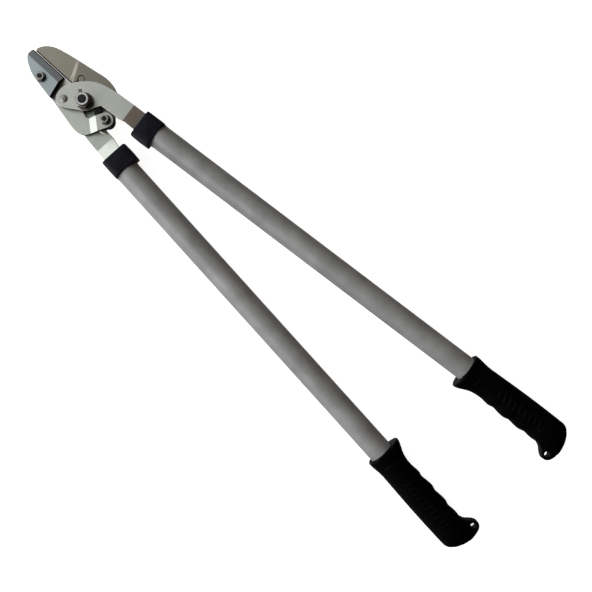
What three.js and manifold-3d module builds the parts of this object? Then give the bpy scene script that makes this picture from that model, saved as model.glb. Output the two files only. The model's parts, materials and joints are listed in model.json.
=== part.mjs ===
// Two-handed compound-action anvil cutter, about 0.8 m long.
// Millimetres, +Z up. The tool lies flat and closed, jaws towards -X, grips towards +X,
// with the handle that turns on the +Y side. It is drawn with the main bolt's axis at
// x = y = 0, and moved at the end so that the origin is the centre of its footprint.

import * as THREE from 'three';
import Module from 'manifold-3d';
import { mergeVertices } from 'three/addons/utils/BufferGeometryUtils.js';

const wasm = await Module();
wasm.setup();

// ---------- driving dimensions ----------

const GAP = 0.3;                       // clearance between neighbouring pieces
const AXIS_Z = 17.5;                   // height of the tubes' centre line
const SPREAD = THREE.MathUtils.degToRad(5.4);   // each handle's angle to the X axis

// pivots in plan
const MAIN = [0, 0];
const JAW = [32, 0.5];
const SLIDE = [-21.2, -14.5];
const DRIVE_PIN = [-24.5, 17];
const BLADE_RIVET = [14, 24];
const ANVIL_BOLT = [-56.9, -13.7];
const LOCK_PIN = [-13.2, 5.6];

// the stack of plates, as [bottom, top]
const LOWER_PLATE = [9.7, 14.7];
const JAW_LAYER = [15, 20];
const UPPER_PLATE = [20.3, 26.3];
const JAW_ARM_RISE = 4.3;
const ANVIL_HALF_THICKNESS = 12;
const JAW_MID_Z = (JAW_LAYER[0] + JAW_LAYER[1]) / 2;

// motion
const HANDLE_OPEN = THREE.MathUtils.degToRad(45);
const JAW_RATIO = 0.42;                // jaw angle over handle angle

// handles: s runs along the tube from the point abreast of the main bolt
const TUBE_RADIUS = 15;
const BORE_RADIUS = 13.5;
const TUBE_START = 70;
const TANG_HALF_WIDTH = 11.7;
const TANG_START = 63;
const TANG_END = 104;
const CRANK_END = 66;
const COLLAR = { length: 24.2, outer: 15.9, inner: 20.4, halfHeight: 17.5, corner: 4 };
const CROSS_PIN = { s: 80, radius: 2.5 };
const GRIP = { length: 149.6, halfHeight: 17.5, tubeDepth: 112 };
const HANG_HOLE = { u: 138.2, t: 23.2, radius: 3.6 };
const LUG_HALF_THICKNESS = 7.5;
const HANDLES = {
  upper: { side: 1, offset: 20.75, collarStart: 67.8, gripStart: 553.6 },
  lower: { side: -1, offset: 18.4, collarStart: 69, gripStart: 546.2 },
};

// bolts and lock nuts: `rim` is the height of the nut's crimped collar, `seat` the width of
// the nylon ring and `proud` how far the bolt's end stands above the collar
const M10 = {
  shaft: 5, flats: 17, headHeight: 6.2, nutHeight: 8.6, rim: 2.8, seat: 2.2, proud: 1, washer: 10.5, thick: 1.5,
};
const M6 = {
  shaft: 3, flats: 10, headHeight: 4, nutHeight: 4.6, rim: 1.3, seat: 1.1, proud: 0.8, washer: 6, thick: 1.3,
};
const M6_THIN = { ...M6, nutHeight: 3, rim: 1, proud: 0.6, thick: 0.8 };
const ROUND = 20;                      // sides of a small round piece

// ---------- finishes ----------

const finish = (color, roughness, metalness) =>
  new THREE.MeshStandardMaterial({ color, roughness, metalness });

const FINISH = {
  forged: finish(0xa3a59d, 0.45, 0.85),
  blade: finish(0x7a7567, 0.3, 0.9),
  anvil: finish(0x8d9393, 0.4, 0.85),
  fastener: finish(0x55565a, 0.35, 0.9),
  blackSteel: finish(0x26262a, 0.45, 0.6),
  nylon: finish(0xd8d8d4, 0.5, 0),
  tube: finish(0x96999a, 0.55, 0.4),
  collar: finish(0x24232a, 0.5, 0),
  grip: finish(0x0c0c0d, 0.65, 0),
  rubber: finish(0x18181a, 0.8, 0),
  plug: finish(0x8f9092, 0.6, 0),
};

// ---------- solids ----------

function toSolid(geometry) {
  const bare = geometry.clone();
  bare.deleteAttribute('normal');
  bare.deleteAttribute('uv');
  const merged = mergeVertices(bare, 1e-4);
  return new wasm.Manifold(new wasm.Mesh({
    numProp: 3,
    vertProperties: Float32Array.from(merged.attributes.position.array),
    triVerts: Uint32Array.from(merged.index.array),
  }));
}

function toGeometry(manifold) {
  const mesh = manifold.getMesh();
  const geometry = new THREE.BufferGeometry();
  geometry.setAttribute('position', new THREE.BufferAttribute(mesh.vertProperties, 3));
  geometry.setIndex(new THREE.BufferAttribute(mesh.triVerts, 1));
  geometry.computeVertexNormals();
  return geometry;
}

const cutAll = (body, tools) => tools.reduce((rest, tool) => rest.subtract(tool), body);
const joinAll = (first, others) => others.reduce((sum, other) => sum.add(other), first);

// a plate with a flat outline, from z0 to z1
function plate(shape, z0, z1, curveSegments = 4) {
  const geometry = new THREE.ExtrudeGeometry(shape, {
    depth: z1 - z0, bevelEnabled: false, curveSegments,
  });
  return toSolid(geometry.translate(0, 0, z0));
}

function polygon(points) {
  return new THREE.Shape(points.map(([x, y]) => new THREE.Vector2(x, y)));
}

const vectors = (points) => points.map(([x, y]) => new THREE.Vector2(x, y));

// a round bar or disc on the Z axis through a point
function disc([x, y], radius, z0, z1, sides = ROUND) {
  const geometry = new THREE.CylinderGeometry(radius, radius, z1 - z0, sides);
  return toSolid(geometry.rotateX(Math.PI / 2).translate(x, y, (z0 + z1) / 2));
}

// a turned piece on a vertical axis: profile points are [radius, z]
function turned([x, y], profile, sides = ROUND) {
  const geometry = new THREE.LatheGeometry(vectors(profile), sides);
  return toSolid(geometry.rotateX(Math.PI / 2).translate(x, y, 0));
}

function hexagon(centre, flats, z0, z1) {
  return disc(centre, flats / Math.sqrt(3), z0, z1, 6);
}

function ring(centre, outer, inner, z0, z1, sides = ROUND) {
  return disc(centre, outer, z0, z1, sides).subtract(disc(centre, inner, z0 - 1, z1 + 1, sides));
}

function box([x0, x1], [y0, y1], [z0, z1]) {
  const geometry = new THREE.BoxGeometry(x1 - x0, y1 - y0, z1 - z0);
  return toSolid(geometry.translate((x0 + x1) / 2, (y0 + y1) / 2, (z0 + z1) / 2));
}

// A plate cranked out of its plane: it climbs by `rise` between two parallel bend lines,
// which lie `from` and `to` along the direction `angle` from the main bolt.
function crankedPlate(shape, [z0, z1], { angle, from, to, rise }) {
  const reach = 200;
  const side = polygon([[-reach, z0], [from, z0], [to, z0 + rise], [reach, z0 + rise],
    [reach, z1 + rise], [to, z1 + rise], [from, z1], [-reach, z1]]);
  const sheet = new THREE.ExtrudeGeometry(side, { depth: 2 * reach, bevelEnabled: false });
  sheet.rotateX(Math.PI / 2).translate(0, reach, 0).rotateZ(angle);
  return toSolid(sheet).intersect(plate(shape, -reach, reach));
}

const tool = new THREE.Group();

function add(name, manifold, material, parent = tool) {
  const mesh = new THREE.Mesh(toGeometry(manifold), material);
  mesh.name = name;
  parent.add(mesh);
}

function turnAbout([cx, cy], angle, [x, y]) {
  const dx = x - cx;
  const dy = y - cy;
  const cos = Math.cos(angle);
  const sin = Math.sin(angle);
  return [cx + dx * cos - dy * sin, cy + dx * sin + dy * cos];
}

// plan position of a point on a handle: s along the tube, `out` away from the other handle
function handlePoint(name, s, out) {
  const { side, offset } = HANDLES[name];
  return turnAbout(MAIN, side * SPREAD, [s, side * (offset + out)]);
}

// ---------- blade ----------

function bladeOutline() {
  const hub = 9.6;
  const notch = 4.4;
  const rear = 37.8;
  const shape = new THREE.Shape();
  shape.moveTo(-87.6, 4.8);
  shape.lineTo(-88.8, 8.6);
  shape.splineThru(vectors([[-85, 14.9], [-78.5, 20.6], [-70.4, 24.5], [-58.4, 27.6],
    [-44, 30.5], [-22.2, 34.4], [-8, 37]]));
  shape.absarc(...MAIN, rear, THREE.MathUtils.degToRad(100), THREE.MathUtils.degToRad(40), true);
  shape.absarc(...MAIN, hub, THREE.MathUtils.degToRad(30), -Math.PI, true);
  shape.absarc(...DRIVE_PIN, notch, THREE.MathUtils.degToRad(-40), THREE.MathUtils.degToRad(200), false);
  shape.lineTo(-26.4, 12.2);
  shape.lineTo(-29.6, 4.8);
  return shape;
}

// the ground face slopes from full thickness at the back to the edge
function grind(side) {
  const edgeHalf = 0.3;
  const backHalf = 2.3;
  const far = 12;
  const profile = polygon([[4, edgeHalf], [30, backHalf], [40, far], [4, far]]);
  const wedge = new THREE.ExtrudeGeometry(profile, { depth: 120, bevelEnabled: false });
  wedge.applyMatrix4(new THREE.Matrix4().set(
    0, 0, 1, -150,
    1, 0, 0, 0,
    0, 1, 0, JAW_MID_Z,
    0, 0, 0, 1,
  ));
  const heel = polygon([[-100, 0], [-31.5, 0], [-46, 34], [-100, 34]]);
  const above = toSolid(wedge).intersect(plate(heel, JAW_MID_Z, JAW_MID_Z + far));
  return side > 0 ? above : above.mirror([0, 0, 1]).translate([0, 0, 2 * JAW_MID_Z]);
}

const BUSH_RADIUS = 6.5;
const BLADE_RIVET_RADIUS = 3;
const DRIVE_PIN_RADIUS = 3.9;
const SNUG = 0.15;                     // clearance round a fixed pin
const blade = cutAll(plate(bladeOutline(), ...JAW_LAYER), [
  disc(MAIN, BUSH_RADIUS + GAP, 0, 40),
  disc(BLADE_RIVET, BLADE_RIVET_RADIUS + GAP, 0, 40),
  grind(1),
  grind(-1),
]);
add('blade', blade, FINISH.blade);

// ---------- lower handle plate ----------

function lowerPlateOutline() {
  const ear = 8.5;
  const hub = 17.5;
  const boss = 8.6;
  const shape = new THREE.Shape();
  shape.moveTo(...handlePoint('lower', TANG_END, TANG_HALF_WIDTH));
  shape.lineTo(...handlePoint('lower', TANG_START, TANG_HALF_WIDTH));
  shape.splineThru(vectors([[46.8, -34.5], [28.9, -32.1], [20, -29.2], [13, -21]]));
  shape.absarc(...MAIN, hub, THREE.MathUtils.degToRad(-65), -Math.PI, true);
  shape.absarc(...DRIVE_PIN, ear, THREE.MathUtils.degToRad(195), THREE.MathUtils.degToRad(80), true);
  shape.absarc(...BLADE_RIVET, ear, THREE.MathUtils.degToRad(100), THREE.MathUtils.degToRad(-10), true);
  shape.absarc(...JAW, boss, THREE.MathUtils.degToRad(45), THREE.MathUtils.degToRad(-60), true);
  shape.splineThru(vectors([[38, -8.5], [46.9, -9], [54.9, -10.7]]));
  shape.lineTo(...handlePoint('lower', TANG_START, -TANG_HALF_WIDTH));
  shape.lineTo(...handlePoint('lower', TANG_END, -TANG_HALF_WIDTH));
  return shape;
}

// rubber stop let into the boss; `margin` widens it into its seat
function bufferOutline(margin) {
  const corners = [[12.6, -1.5], [16.4, -4.2], [20, 5.6], [15.6, 8.6]];
  const centre = [16.2, 2.1];
  return polygon(corners.map(([x, y]) => {
    const reach = Math.hypot(x - centre[0], y - centre[1]);
    const grow = 1 + margin / reach;
    return [centre[0] + (x - centre[0]) * grow, centre[1] + (y - centre[1]) * grow];
  }));
}

const BOSS_TOP = 17.2;
function jawBoss() {
  const base = LOWER_PLATE[1] - 1;
  const cone = turned(JAW, [[0, base], [19, base], [18, LOWER_PLATE[1]], [13, BOSS_TOP], [0, BOSS_TOP]], 36);
  return cone.intersect(plate(lowerPlateOutline(), base, BOSS_TOP + 1));
}

const lowerPlate = cutAll(
  crankedPlate(lowerPlateOutline(), LOWER_PLATE, { angle: -SPREAD, from: 50, to: CRANK_END, rise: 5.3 })
    .add(jawBoss()),
  [
    disc(MAIN, M10.shaft + GAP, 0, 40),
    disc(JAW, M6.shaft + GAP, 0, 40),
    disc(DRIVE_PIN, DRIVE_PIN_RADIUS + SNUG, 0, 40),
    disc(BLADE_RIVET, BLADE_RIVET_RADIUS + GAP, 0, 40),
    plate(bufferOutline(0.5), LOWER_PLATE[1], 40),
  ],
);
add('blade_drive_pin', disc(DRIVE_PIN, DRIVE_PIN_RADIUS, LOWER_PLATE[0], JAW_LAYER[1] - 0.4), FINISH.blade);
add('blade_rivet', disc(BLADE_RIVET, BLADE_RIVET_RADIUS, LOWER_PLATE[0], JAW_LAYER[1]), FINISH.fastener);

// ---------- anvil jaw plate ----------

function jawOutline() {
  const armEnd = 9;
  const inner = 10;
  const shape = new THREE.Shape();
  shape.moveTo(-80.5, -1.2);
  shape.lineTo(-38.3, -1.2);
  shape.lineTo(-39.4, 4.3);
  shape.lineTo(-29.3, 4.3);
  shape.lineTo(-22, 3.4);
  shape.lineTo(-12.6, -1.2);
  shape.absarc(...MAIN, inner, THREE.MathUtils.degToRad(192), THREE.MathUtils.degToRad(282), false);
  shape.lineTo(10.7, -12.9);
  shape.lineTo(14.6, -11.6);
  shape.absarc(...JAW, armEnd, THREE.MathUtils.degToRad(150), THREE.MathUtils.degToRad(-30), true);
  shape.lineTo(33.7, -15.4);
  shape.lineTo(28.5, -23.3);
  shape.splineThru(vectors([[25.5, -28.5], [19.6, -32.3], [13.1, -33.9], [6.1, -33.3]]));
  shape.lineTo(-33.4, -24.9);
  shape.lineTo(-51.8, -20.8);
  shape.splineThru(vectors([[-66, -17.3], [-76.5, -12.5], [-81.5, -7], [-80.5, -1.2]]));
  return shape;
}

// the slide rivet's path seen from the jaw, as the constant ratio moves both
function slideSlot(radius) {
  const steps = 6;
  const stops = Array.from({ length: steps + 1 }, (_, i) => {
    const handle = HANDLE_OPEN * (i / steps);
    return turnAbout(JAW, -handle * JAW_RATIO, turnAbout(MAIN, handle, SLIDE));
  });
  const links = stops.slice(1).map((stop, i) => {
    const [x0, y0] = stops[i];
    const dx = stop[0] - x0;
    const dy = stop[1] - y0;
    const long = Math.hypot(dx, dy);
    const nx = -dy / long * radius;
    const ny = dx / long * radius;
    return plate(polygon([[x0 - nx, y0 - ny], [stop[0] - nx, stop[1] - ny],
      [stop[0] + nx, stop[1] + ny], [x0 + nx, y0 + ny]]), 0, 40);
  });
  const ends = stops.map((stop) => disc(stop, radius, 0, 40, 16));
  return joinAll(links[0], [...links.slice(1), ...ends]);
}

const SLIDE_RADIUS = 4;
const jawCrank = { angle: Math.atan2(0.764, 0.648), from: 0.6, to: 9.35, rise: JAW_ARM_RISE };
const jawPlate = cutAll(crankedPlate(jawOutline(), JAW_LAYER, jawCrank), [
  slideSlot(SLIDE_RADIUS + 0.35),
  disc(JAW, M6.shaft + GAP, 0, 40),
  disc(ANVIL_BOLT, M6.shaft + GAP, 0, 40),
]);
add('anvil_jaw_plate', jawPlate, FINISH.forged);

// ---------- anvil ----------

const ANVIL_FACE_Y = 4.4;
function anvilOutline() {
  const shape = new THREE.Shape();
  shape.moveTo(-90, ANVIL_FACE_Y);
  shape.lineTo(-39.9, ANVIL_FACE_Y);
  shape.lineTo(-33.9, -24.5);
  shape.lineTo(-51.8, -21.6);
  shape.splineThru(vectors([[-66, -18.5], [-76.5, -13.7], [-84.3, -8], [-88.2, -1.7]]));
  return shape;
}

// the side faces lean in from this line to the cutting land
function anvilBevel(side) {
  const bevelStartY = -4.6;
  const landHalf = 4.5;
  const profile = polygon([[bevelStartY, ANVIL_HALF_THICKNESS], [ANVIL_FACE_Y + 1, landHalf - 0.8],
    [ANVIL_FACE_Y + 1, 20], [bevelStartY, 20]]);
  const wedge = new THREE.ExtrudeGeometry(profile, { depth: 80, bevelEnabled: false });
  wedge.applyMatrix4(new THREE.Matrix4().set(
    0, 0, 1, -100,
    1, 0, 0, 0,
    0, 1, 0, JAW_MID_Z,
    0, 0, 0, 1,
  ));
  const above = toSolid(wedge);
  return side > 0 ? above : above.mirror([0, 0, 1]).translate([0, 0, 2 * JAW_MID_Z]);
}

const anvil = cutAll(
  plate(anvilOutline(), JAW_MID_Z - ANVIL_HALF_THICKNESS, JAW_MID_Z + ANVIL_HALF_THICKNESS),
  [
    anvilBevel(1),
    anvilBevel(-1),
    box([-83, -20], [-60, -0.8], [JAW_LAYER[0] - 0.2, JAW_LAYER[1] + 0.2]),
    disc(ANVIL_BOLT, M6.shaft + GAP, 0, 40),
  ],
);
add('anvil', anvil, FINISH.anvil);

// ---------- upper handle plate ----------

function upperPlateOutline() {
  const shape = new THREE.Shape();
  shape.moveTo(...handlePoint('upper', TANG_END, TANG_HALF_WIDTH));
  shape.lineTo(...handlePoint('upper', TANG_START, TANG_HALF_WIDTH));
  shape.splineThru(vectors([[43, 36.1], [20.6, 33.4], [11.1, 31.5], [-0.4, 28.2], [-10.3, 23.1],
    [-20.8, 13.5], [-27.9, 3.7], [-31.4, -4.5], [-32, -12.1], [-29.6, -19.6], [-23.6, -23.8],
    [-17.3, -23.4], [-9.8, -19.6], [-1.7, -14.3], [5.4, -9.7], [9.5, -5.5], [12.8, 1.6]]));
  shape.lineTo(17.3, 9.1);
  shape.splineThru(vectors([[29.1, 10.4], [39.7, 11.5], [48.7, 14]]));
  shape.lineTo(...handlePoint('upper', TANG_START, -TANG_HALF_WIDTH));
  shape.lineTo(...handlePoint('upper', TANG_END, -TANG_HALF_WIDTH));
  return shape;
}

const LOCK_PIN_RADIUS = 1.8;
const upperPlate = cutAll(
  crankedPlate(upperPlateOutline(), UPPER_PLATE, { angle: SPREAD, from: 49, to: CRANK_END, rise: -5.8 }),
  [
    disc(MAIN, BUSH_RADIUS + GAP, 0, 40),
    disc(SLIDE, SLIDE_RADIUS + SNUG, 0, 40),
    disc(LOCK_PIN, LOCK_PIN_RADIUS + SNUG, UPPER_PLATE[0] + 1, 40, 12),
  ],
);
add('slide_rivet', turned(SLIDE, [[0, 10.8], [5.4, 10.8], [6, 11.4], [6, 13], [SLIDE_RADIUS, 13],
  [SLIDE_RADIUS, UPPER_PLATE[1] + 0.2], [4.7, UPPER_PLATE[1] + 0.2], [3.8, UPPER_PLATE[1] + 1],
  [0, UPPER_PLATE[1] + 1.4]]), FINISH.forged);
add('slide_washer', ring(SLIDE, 7, SLIDE_RADIUS + 0.2, 13.2, 14.7), FINISH.fastener);
add('lock_pin', disc(LOCK_PIN, LOCK_PIN_RADIUS, UPPER_PLATE[0] + 1.2, UPPER_PLATE[1] + 1.2, 12),
  FINISH.fastener);

// ---------- main bolt and its fittings ----------

const SEATED = 0.2;                    // gap under a nut, a washer or a bolt's head
const HEAD_TOP = LOWER_PLATE[0] - GAP - M10.thick - 0.1;
const NUT_BASE = UPPER_PLATE[1] + GAP + M10.thick + GAP;
const boltTop = (size, nutBase) => nutBase + size.nutHeight + size.rim + size.proud;

function hexBolt(centre, size, headTop, top) {
  const shaft = turned(centre, [[0, headTop - 1], [size.shaft, headTop - 1], [size.shaft, top - 0.8],
    [size.shaft - 0.8, top], [0, top]]);
  return hexagon(centre, size.flats, headTop - size.headHeight, headTop).add(shaft);
}

// hexagon with a round crimped collar that holds the nylon ring
function lockNut(centre, size, base) {
  const hexTop = base + size.nutHeight;
  const collarRadius = size.flats / 2 - 0.7;
  const collarTop = hexTop + size.rim;
  return cutAll(hexagon(centre, size.flats, base, hexTop)
    .add(turned(centre, [[0, hexTop - 1], [collarRadius, hexTop - 1], [collarRadius, collarTop - 0.6],
      [collarRadius - 0.6, collarTop], [0, collarTop]])), [
    disc(centre, size.shaft + GAP, base - 1, collarTop + 1),
    disc(centre, size.shaft + size.seat, hexTop - 0.6, collarTop + 1),
  ]);
}

function nutInsert(centre, size, base) {
  const hexTop = base + size.nutHeight;
  return ring(centre, size.shaft + size.seat - 0.1, size.shaft + SNUG, hexTop - 0.4, hexTop + size.rim);
}

add('main_bolt', hexBolt(MAIN, M10, HEAD_TOP, boltTop(M10, NUT_BASE)), FINISH.blackSteel);
add('main_washer_bottom', ring(MAIN, M10.washer, M10.shaft + GAP, HEAD_TOP + 0.1, HEAD_TOP + 0.1 + M10.thick),
  FINISH.fastener);
add('main_washer_top', ring(MAIN, M10.washer, M10.shaft + GAP, UPPER_PLATE[1] + GAP,
  UPPER_PLATE[1] + GAP + M10.thick), FINISH.fastener);
add('main_locknut', lockNut(MAIN, M10, NUT_BASE), FINISH.fastener);
add('main_locknut_insert', nutInsert(MAIN, M10, NUT_BASE), FINISH.nylon);
add('pivot_bush', ring(MAIN, BUSH_RADIUS, M10.shaft + GAP, LOWER_PLATE[1] + GAP, UPPER_PLATE[1]),
  FINISH.fastener);

// ---------- anvil jaw pivot ----------

const JAW_ARM_TOP = JAW_LAYER[1] + JAW_ARM_RISE;
const JAW_NUT_BASE = JAW_ARM_TOP + SEATED + M6.thick + SEATED;
const JAW_SPACER_RADIUS = 8.8;
add('jaw_spacer', ring(JAW, JAW_SPACER_RADIUS, M6.shaft + GAP, BOSS_TOP + 0.1,
  JAW_LAYER[0] + JAW_ARM_RISE - SEATED), FINISH.blackSteel);
add('jaw_bolt', hexBolt(JAW, M6, LOWER_PLATE[0] - SEATED, boltTop(M6, JAW_NUT_BASE)), FINISH.blackSteel);
add('jaw_washer', ring(JAW, M6.washer, M6.shaft + GAP, JAW_ARM_TOP + SEATED,
  JAW_ARM_TOP + SEATED + M6.thick), FINISH.fastener);
add('jaw_locknut', lockNut(JAW, M6, JAW_NUT_BASE), FINISH.fastener);
add('jaw_locknut_insert', nutInsert(JAW, M6, JAW_NUT_BASE), FINISH.nylon);

// ---------- anvil fixing ----------

const ANVIL_TOP = JAW_MID_Z + ANVIL_HALF_THICKNESS;
const ANVIL_NUT_BASE = ANVIL_TOP + SEATED + M6_THIN.thick + SEATED;
add('anvil_bolt', hexBolt(ANVIL_BOLT, M6_THIN, JAW_MID_Z - ANVIL_HALF_THICKNESS - SEATED,
  boltTop(M6_THIN, ANVIL_NUT_BASE)), FINISH.blackSteel);
add('anvil_washer', ring(ANVIL_BOLT, M6_THIN.washer, M6_THIN.shaft + GAP, ANVIL_TOP + SEATED,
  ANVIL_TOP + SEATED + M6_THIN.thick), FINISH.fastener);
add('anvil_locknut', lockNut(ANVIL_BOLT, M6_THIN, ANVIL_NUT_BASE), FINISH.fastener);
add('anvil_locknut_insert', nutInsert(ANVIL_BOLT, M6_THIN, ANVIL_NUT_BASE), FINISH.nylon);

// ---------- stop buffer, seen in the notch beside the jaw's arm ----------

add('stop_buffer', plate(bufferOutline(0), LOWER_PLATE[1] + 0.1, JAW_LAYER[1] - 1.4), FINISH.rubber);

// ---------- handles ----------

// Along-the-tube pieces are drawn with x along the tube, y towards the outside of the
// tool (away from the other handle) and z up from the tube's centre line.
function bar(radius, from, to, sides = 32) {
  const geometry = new THREE.CylinderGeometry(radius, radius, to - from, sides);
  return toSolid(geometry.rotateZ(Math.PI / 2).translate((from + to) / 2, 0, 0));
}

const pipe = (outer, inner, from, to) => bar(outer, from, to).subtract(bar(inner, from - 1, to + 1));

// half-widths of the grip, u measured from its mouth
function gripInner(u) {
  const flare = 8.8 * Math.exp(-((u / 16.2) ** 2));
  const grow = THREE.MathUtils.smoothstep(u, 25, 75);
  const phase = (u - 46.5) / 23.2 * 2 * Math.PI;
  const wave = 0.75 * Math.cos(phase + 0.45 * (1 - Math.cos(phase)));
  const waving = THREE.MathUtils.smoothstep(u, 30, 48) * (1 - THREE.MathUtils.smoothstep(u, 108, 122));
  return 17.15 + grow * 1.5 + flare + wave * waving;
}

function gripOuter(u) {
  const lip = 2.1 * Math.exp(-(((u - 3) / 12) ** 2));
  const belly = 1.2 * Math.sin(Math.PI * THREE.MathUtils.clamp((u - 25) / 130, 0, 1));
  return 17.9 + lip + belly;
}

function gripHalfHeight(u) {
  const lip = (GRIP.halfHeight - 16.3) * Math.exp(-(((u - 3) / 9) ** 2));
  const taper = THREE.MathUtils.clamp((u - 118) / 60, 0, 1);
  return 16.3 * Math.sqrt(1 - taper * taper) + lip;
}

function gripBody(side) {
  const rows = 34;
  const geometry = new THREE.CylinderGeometry(1, 1, 1, 20, rows);
  const at = geometry.attributes.position;
  for (let i = 0; i < at.count; i += 1) {
    const u = (at.getY(i) + 0.5) * (GRIP.length + 4);
    const across = at.getX(i);
    const outward = across > 0 ? gripOuter(u) : gripInner(u);
    at.setXYZ(i, u, across * outward * side, -at.getZ(i) * gripHalfHeight(u) * side);
  }
  return toSolid(geometry);
}

// grip outlines in plan, as [u, t] with t towards the other handle
function gripOutline(side, start, bend, end) {
  const toward = ([u, t]) => [u, -t * side];
  const shape = new THREE.Shape();
  shape.moveTo(...toward(start[0]));
  start.slice(1).forEach((point) => shape.lineTo(...toward(point)));
  shape.splineThru(vectors(bend.map(toward)));
  end.forEach((point) => shape.lineTo(...toward(point)));
  return shape;
}

const TAIL_CURVE = [[138, -16.4], [143, -10.8], [146, -5.2], [148.4, 1], [149.5, 8], [148.4, 16]];
const LUG_CURVE = [[146.8, 22.6], [144.2, 27.6], [139.6, 30.4], [134.9, 28.8], [130.2, 24.6], [126.8, 21]];

function grip(side) {
  const trim = gripOutline(side, [[-1, -30], [133, -30], [133, -19.4]], TAIL_CURVE, [[140, 30], [-1, 30]]);
  const lug = gripOutline(side, [[118, 12], [142, 6], [149.4, 8], [148.4, 16]], LUG_CURVE, [[119, 17]]);
  const body = gripBody(side).intersect(plate(trim, -20, 20, 3));
  const ear = plate(lug, -LUG_HALF_THICKNESS, LUG_HALF_THICKNESS, 3);
  const hole = disc([HANG_HOLE.u, -side * HANG_HOLE.t], HANG_HOLE.radius, -20, 20, 16);
  return cutAll(body.add(ear), [hole, bar(TUBE_RADIUS + GAP, -5, GRIP.tubeDepth + GAP)]);
}

function collarSection({ side }) {
  const { outer, inner, halfHeight, corner } = COLLAR;
  const low = side > 0 ? -inner : -outer;
  const high = side > 0 ? outer : inner;
  const shape = new THREE.Shape();
  shape.moveTo(low + corner, -halfHeight);
  shape.lineTo(high - corner, -halfHeight);
  shape.absarc(high - corner, corner - halfHeight, corner, -Math.PI / 2, 0, false);
  shape.absarc(high - corner, halfHeight - corner, corner, 0, Math.PI / 2, false);
  shape.absarc(low + corner, halfHeight - corner, corner, Math.PI / 2, Math.PI, false);
  shape.absarc(low + corner, corner - halfHeight, corner, Math.PI, 1.5 * Math.PI, false);
  return shape;
}

// section drawn in y, z and run along x
function alongTube(shape, from, to) {
  const geometry = new THREE.ExtrudeGeometry(shape, {
    depth: to - from, bevelEnabled: false, curveSegments: 4,
  });
  geometry.applyMatrix4(new THREE.Matrix4().set(
    0, 0, 1, from,
    1, 0, 0, 0,
    0, 1, 0, 0,
    0, 0, 0, 1,
  ));
  return toSolid(geometry);
}

function buildHandle(name) {
  const { side, offset, collarStart, gripStart } = HANDLES[name];
  const collarEnd = collarStart + COLLAR.length;
  const tubeEnd = gripStart + GRIP.tubeDepth;
  const tangHalfWidth = TANG_HALF_WIDTH + 0.5;
  const tangRoom = box([50, TANG_END + 1], [-tangHalfWidth, tangHalfWidth], [-3.8, 3.8]);
  const pinHoleRadius = CROSS_PIN.radius + 0.2;
  const pinHole = disc([CROSS_PIN.s, 0], pinHoleRadius, -30, 30, 16);

  const group = new THREE.Group();
  group.rotation.z = side * SPREAD;
  group.position.set(-offset * Math.sin(SPREAD), side * offset * Math.cos(SPREAD), AXIS_Z);
  tool.add(group);

  const collar = alongTube(collarSection(HANDLES[name]), collarStart, collarEnd)
    .subtract(bar(TUBE_RADIUS + GAP, TUBE_START - GAP, collarEnd + 1))
    .subtract(tangRoom);
  add(`${name}_collar`, collar, FINISH.collar, group);

  const tube = pipe(TUBE_RADIUS, BORE_RADIUS, TUBE_START, tubeEnd).subtract(pinHole);
  add(`${name}_tube`, tube, FINISH.tube, group);

  const plug = bar(BORE_RADIUS - GAP, TUBE_START + 1, TANG_END + 5).subtract(tangRoom).subtract(pinHole);
  add(`${name}_tang_plug`, plug, FINISH.plug, group);

  const crossPin = disc([CROSS_PIN.s, 0], CROSS_PIN.radius, -14.6, 14.6, 16);
  add(`${name}_cross_pin`, crossPin, FINISH.fastener, group);

  const endPlug = bar(BORE_RADIUS - GAP, tubeEnd - 9, tubeEnd - 0.5);
  add(`${name}_tube_end_plug`, endPlug, FINISH.plug, group);

  add(`${name}_grip`, grip(side).translate([gripStart, 0, 0]), FINISH.grip, group);
  group.updateMatrixWorld(true);
  return toSolid(new THREE.CylinderGeometry(pinHoleRadius, pinHoleRadius, 60, 16)
    .rotateX(Math.PI / 2).translate(CROSS_PIN.s, 0, 0).applyMatrix4(group.matrixWorld));
}

const upperPinHole = buildHandle('upper');
const lowerPinHole = buildHandle('lower');
add('upper_handle_plate', upperPlate.subtract(upperPinHole), FINISH.forged);
add('lower_handle_plate', lowerPlate.subtract(lowerPinHole), FINISH.forged);

// ---------- origin at the centre of the footprint, on the surface it lies on ----------

const extent = new THREE.Box3().setFromObject(tool, true);
const middle = extent.getCenter(new THREE.Vector3());
tool.position.set(-middle.x, -middle.y, -extent.min.z);

export default tool;
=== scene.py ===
import json
import math
import bpy
import bmesh
from mathutils import Matrix, Vector, geometry


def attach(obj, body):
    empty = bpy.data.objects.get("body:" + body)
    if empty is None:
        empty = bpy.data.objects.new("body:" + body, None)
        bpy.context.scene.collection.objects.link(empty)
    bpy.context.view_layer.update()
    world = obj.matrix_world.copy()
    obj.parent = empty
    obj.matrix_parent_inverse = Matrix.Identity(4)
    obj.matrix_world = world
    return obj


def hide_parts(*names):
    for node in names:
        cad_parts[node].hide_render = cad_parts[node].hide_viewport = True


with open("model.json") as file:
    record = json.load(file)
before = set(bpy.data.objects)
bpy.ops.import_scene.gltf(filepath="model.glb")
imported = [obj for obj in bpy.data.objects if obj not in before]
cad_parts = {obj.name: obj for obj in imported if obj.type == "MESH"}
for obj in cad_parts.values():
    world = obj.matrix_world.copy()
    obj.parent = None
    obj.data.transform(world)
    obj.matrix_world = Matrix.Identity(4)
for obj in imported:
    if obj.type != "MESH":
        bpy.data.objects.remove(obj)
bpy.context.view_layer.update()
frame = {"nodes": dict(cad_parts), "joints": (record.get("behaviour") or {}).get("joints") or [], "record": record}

# ---------- frame ----------
# Shapes below are drawn in millimetres with the main bolt's axis at x = y = 0, as on a
# drawing of the tool, and moved to where the frame's own joint puts that axis.

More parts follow.
